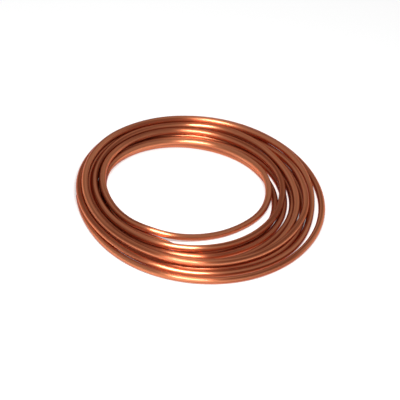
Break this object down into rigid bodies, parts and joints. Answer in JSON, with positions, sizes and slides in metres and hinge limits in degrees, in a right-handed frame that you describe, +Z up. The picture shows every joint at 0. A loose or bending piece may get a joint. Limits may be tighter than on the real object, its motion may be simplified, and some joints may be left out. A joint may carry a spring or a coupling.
{
  "type": "copper tube coil",
  "caption": "Flat round coil of small soft copper tube, one to three layers high, packed at the back and left, with loose turns that stand off at the front and right.",
  "frame": {"origin": "on the floor under the middle of the outermost turn", "axes": "+Z up along the coil's axis, +X to the side where the turns fan out, +Y to the back"},
  "size_m": [0.2326, 0.2326, 0.0184],
  "materials": {
    "copper": "drawn copper, semi-bright, with light tarnish streaks along the tube"
  },
  "bodies": {
    "root": {"coiled_tube": "copper"}
  },
  "joints": []
}
